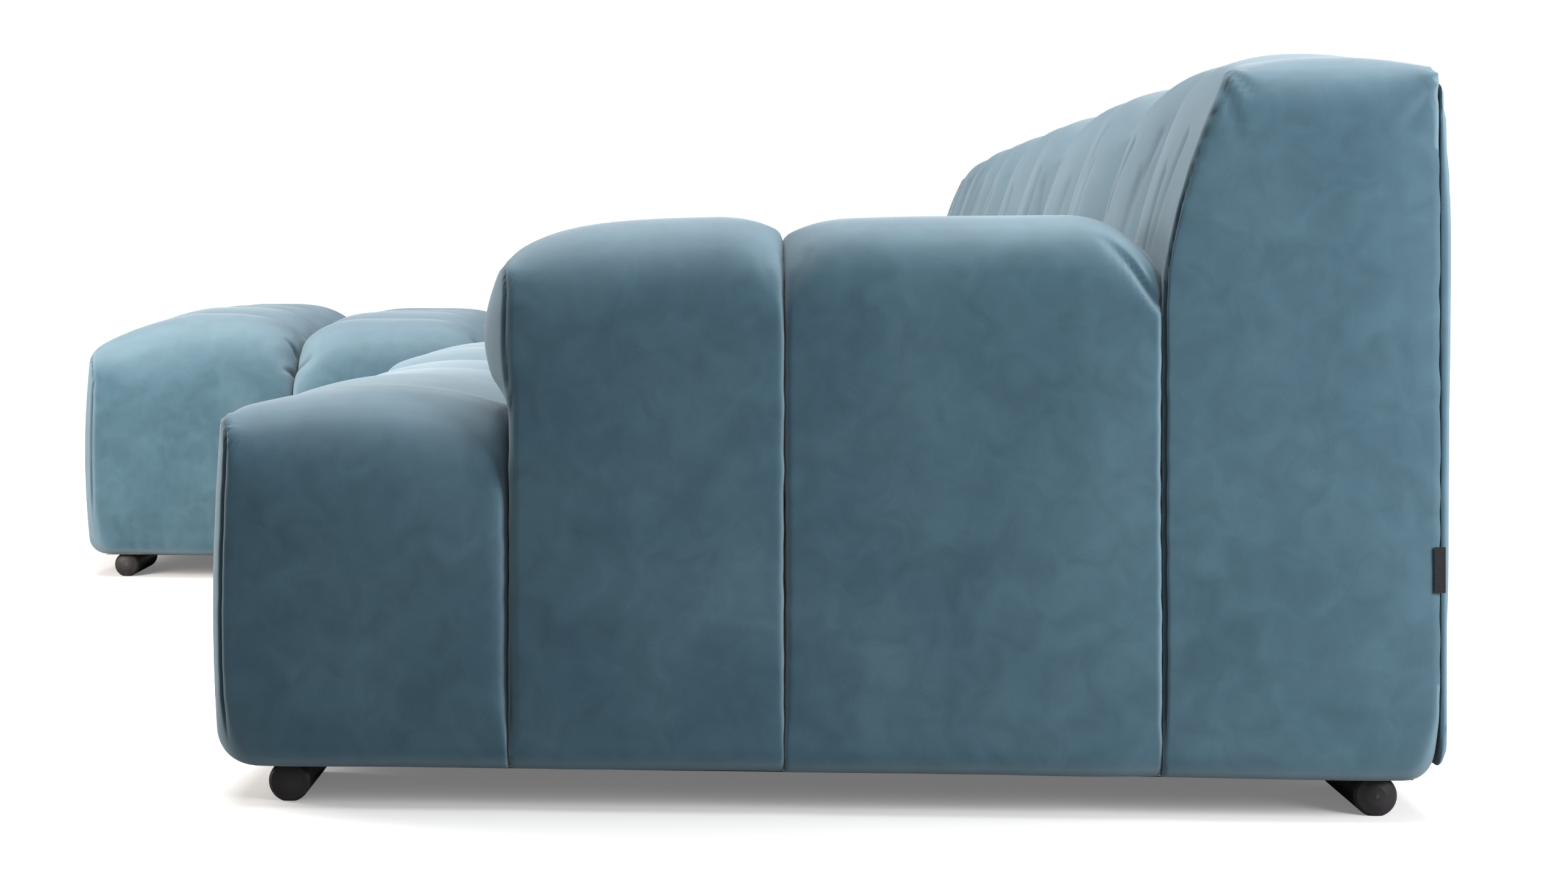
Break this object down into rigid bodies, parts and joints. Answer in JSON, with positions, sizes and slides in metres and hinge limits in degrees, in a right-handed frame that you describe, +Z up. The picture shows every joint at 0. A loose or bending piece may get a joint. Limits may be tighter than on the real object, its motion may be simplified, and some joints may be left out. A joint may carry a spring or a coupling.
{
  "type": "lounge sofa",
  "caption": "Corner lounge sofa with a chaise, one arm, channelled velvet padding and low round bar feet; the chaise lifts off its hooks.",
  "frame": {"origin": "on the floor under the middle of the footprint", "axes": "+X along the sofa towards the arm, +Y towards the backrest, +Z up"},
  "size_m": [2.816, 1.8699, 0.7961],
  "materials": {
    "velvet": "short blue velvet nap",
    "pine": "sawn",
    "plywood": "plain",
    "fibre_board": "plain",
    "webbing": "woven",
    "lining": "bonded black cloth",
    "tape": "woven black tape",
    "steel": "zinc plated",
    "black_lacquer": "black satin lacquer"
  },
  "bodies": {
    "sofa": {"arm_end_boards": "plywood", "arm_inner_panel": "plywood", "arm_joining_plates": "steel", "arm_outer_panel": "plywood", "arm_pad_front": "velvet", "arm_pad_rear": "velvet", "arm_support_rail": "pine", "arm_top_board": "plywood", "seat_front_block_left": "velvet", "seat_front_block_middle": "velvet", "seat_front_block_right": "velvet", "seat_pad_left": "velvet", "seat_pad_middle": "velvet", "seat_pad_right": "velvet", "side_label": "tape", "sofa_back_board": "fibre_board", "sofa_back_lower_rails": "pine", "sofa_back_pad_left": "velvet", "sofa_back_pad_middle": "velvet", "sofa_back_pad_right": "velvet", "sofa_back_straps": "webbing", "sofa_back_top_rail": "pine", "sofa_back_uprights": "pine", "sofa_connector_pockets": "steel", "sofa_corner_blocks": "pine", "sofa_cross_rails": "pine", "sofa_deck_rail": "pine", "sofa_dust_cover": "lining", "sofa_end_rails": "pine", "sofa_feet": "black_lacquer", "sofa_foot_bolts": "steel", "sofa_front_rail": "pine", "sofa_rear_cover": "velvet", "sofa_rear_rail": "pine", "sofa_seat_straps": "webbing"},
    "chaise": {"chaise_back_board": "fibre_board", "chaise_back_lower_rails": "pine", "chaise_back_pad_left": "velvet", "chaise_back_pad_right": "velvet", "chaise_back_straps": "webbing", "chaise_back_top_rail": "pine", "chaise_back_uprights": "pine", "chaise_connector_hooks": "steel", "chaise_corner_blocks": "pine", "chaise_cross_rails": "pine", "chaise_deck_rail": "pine", "chaise_dust_cover": "lining", "chaise_end_rails": "pine", "chaise_feet": "black_lacquer", "chaise_foot_bolts": "steel", "chaise_front_rail": "pine", "chaise_pad_row_1": "velvet", "chaise_pad_row_2": "velvet", "chaise_pad_row_3": "velvet", "chaise_pad_row_4": "velvet", "chaise_rear_cover": "velvet", "chaise_rear_rail": "pine", "chaise_seat_straps": "webbing"}
  },
  "joints": [
    {"name": "chaise_lift", "type": "slide", "parent": "sofa", "child": "chaise", "axis": [0, 0, 1], "range_m": [0, 0.08]}
  ]
}
